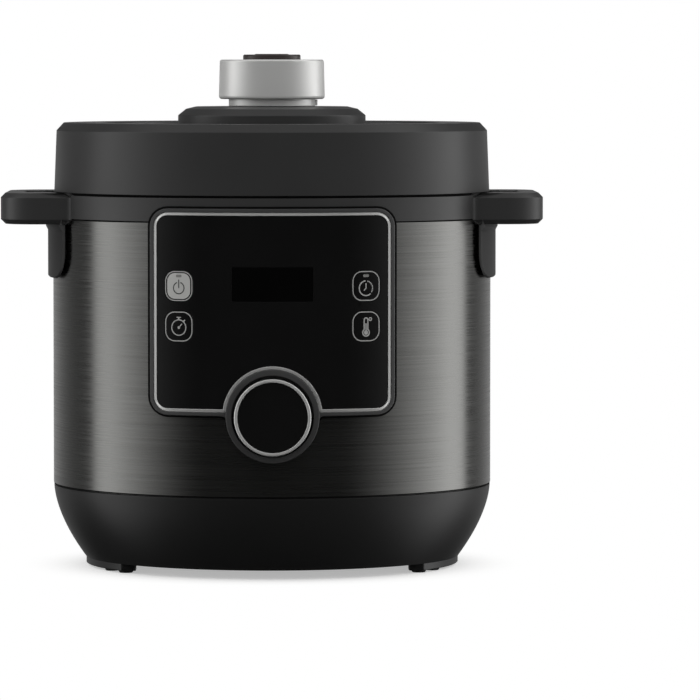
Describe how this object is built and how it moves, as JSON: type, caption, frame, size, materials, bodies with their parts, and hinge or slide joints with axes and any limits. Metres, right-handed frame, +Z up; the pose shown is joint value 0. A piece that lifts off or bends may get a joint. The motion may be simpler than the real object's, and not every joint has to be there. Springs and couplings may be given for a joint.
{
  "type": "electric pressure cooker",
  "caption": "Round electric pressure cooker with a lift-off lid, central locking knob, curved front panel with dial and keys, side handles, inner bowl and rear condensate cup.",
  "frame": {"origin": "on the table plane, under the axis of the round body", "axes": "+Z up along the body's axis, -Y towards the control panel at the front, +X towards the right-hand handle seen from the front"},
  "size_m": [0.344, 0.317, 0.3267],
  "materials": {
    "satin_black": "satin",
    "frame_grey": "satin",
    "black_steel": "brushed",
    "gloss_black": "gloss",
    "display_black": "gloss",
    "key_silver": "satin",
    "trim_chrome": "polished",
    "knob_aluminium": "satin",
    "button_brown": "satin",
    "rubber": "matte",
    "silicone": "matte",
    "steel": "satin",
    "cast_aluminium": "matte",
    "nonstick": "satin",
    "circuit_green": "satin",
    "component_grey": "satin",
    "ceramic_white": "matte",
    "brass": "satin",
    "float_red": "gloss",
    "cup_smoke": "gloss"
  },
  "bodies": {
    "housing": {"base_shell": "satin_black", "bottom_cover": "satin_black", "foot_pads": "rubber", "bottom_screws": "steel", "outer_shell": "black_steel", "rim_ring": "satin_black", "handle_lower_left": "satin_black", "handle_lower_right": "satin_black", "handle_screws": "steel", "panel_frame": "frame_grey", "panel_trim": "trim_chrome", "panel_fascia": "gloss_black", "display_window": "display_black", "display_module": "component_grey", "control_board": "circuit_green", "board_screws": "steel", "tact_switches": "component_grey", "encoder_body": "steel", "outer_pot": "steel", "lock_flange": "steel", "heating_plate": "cast_aluminium", "heater_terminals": "brass", "pressure_bracket": "steel", "pressure_switch": "ceramic_white", "thermal_fuse": "ceramic_white", "power_board": "circuit_green", "power_components": "component_grey", "power_inlet": "satin_black", "inlet_pins": "brass", "cup_bracket": "satin_black", "sensor_spring": "steel"},
    "key_power": {"key_power": "key_silver"},
    "key_timer": {"key_timer": "gloss_black"},
    "key_delay": {"key_delay": "gloss_black"},
    "key_temperature": {"key_temperature": "gloss_black"},
    "dial_core": {"encoder_shaft": "steel"},
    "dial": {"dial_cap": "gloss_black", "dial_ring": "trim_chrome"},
    "sensor": {"sensor_cap": "steel"},
    "pot": {"inner_pot": "nonstick"},
    "lid": {"lid_shell": "satin_black", "lid_plinth": "satin_black", "lid_skirt_ring": "satin_black", "pressure_plate": "steel", "inner_lid": "steel", "lid_gasket": "silicone", "lid_nut": "steel", "valve_seat": "brass", "lid_screws": "steel"},
    "lock": {"lock_bell": "steel", "lock_spindle": "cast_aluminium", "knob_neck": "knob_aluminium", "knob_body": "knob_aluminium", "release_spring": "steel"},
    "release": {"release_button": "button_brown", "release_stem": "steel"},
    "float": {"float_pin": "float_red"},
    "cup": {"condensate_cup": "cup_smoke"}
  },
  "joints": [
    {"name": "pot_lift", "type": "slide", "parent": "housing", "child": "pot", "axis": [0, 0, 1], "range_m": [0, 0.2]},
    {"name": "lid_lift", "type": "slide", "parent": "pot", "child": "lid", "axis": [0, 0, 1], "range_m": [0, 0.15]},
    {"name": "knob_turn", "type": "hinge", "parent": "lid", "child": "lock", "pos_m": [0, 0, 0.3], "axis": [0, 0, -1], "range_deg": [0, 30]},
    {"name": "release_press", "type": "slide", "parent": "lock", "child": "release", "axis": [0, 0, -1], "range_m": [0, 0.003], "stiffness_N_per_m": 400, "springref_m": -0.002, "deforming": ["release_spring"]},
    {"name": "float_rise", "type": "slide", "parent": "lid", "child": "float", "axis": [0, 0, 1], "range_m": [0, 0.004]},
    {"name": "dial_spin", "type": "hinge", "parent": "housing", "child": "dial_core", "pos_m": [0, -0.12, 0.1035], "axis": [0, -1, 0], "continuous": true},
    {"name": "dial_push", "type": "slide", "parent": "dial_core", "child": "dial", "axis": [0, 1, 0], "range_m": [0, 0.001], "stiffness_N_per_m": 500, "springref_m": -0.0005},
    {"name": "key_power_press", "type": "slide", "parent": "housing", "child": "key_power", "axis": [0, 1, 0], "range_m": [0, 0.0008], "stiffness_N_per_m": 200, "springref_m": -0.0004},
    {"name": "key_timer_press", "type": "slide", "parent": "housing", "child": "key_timer", "axis": [0, 1, 0], "range_m": [0, 0.0008], "stiffness_N_per_m": 200, "springref_m": -0.0004},
    {"name": "key_delay_press", "type": "slide", "parent": "housing", "child": "key_delay", "axis": [0, 1, 0], "range_m": [0, 0.0008], "stiffness_N_per_m": 200, "springref_m": -0.0004},
    {"name": "key_temperature_press", "type": "slide", "parent": "housing", "child": "key_temperature", "axis": [0, 1, 0], "range_m": [0, 0.0008], "stiffness_N_per_m": 200, "springref_m": -0.0004},
    {"name": "sensor_plunge", "type": "slide", "parent": "housing", "child": "sensor", "axis": [0, 0, -1], "range_m": [0, 0.002], "stiffness_N_per_m": 300, "springref_m": -0.003, "deforming": ["sensor_spring"]},
    {"name": "cup_slide", "type": "slide", "parent": "housing", "child": "cup", "axis": [0, 1, 0], "range_m": [0, 0.06]}
  ]
}
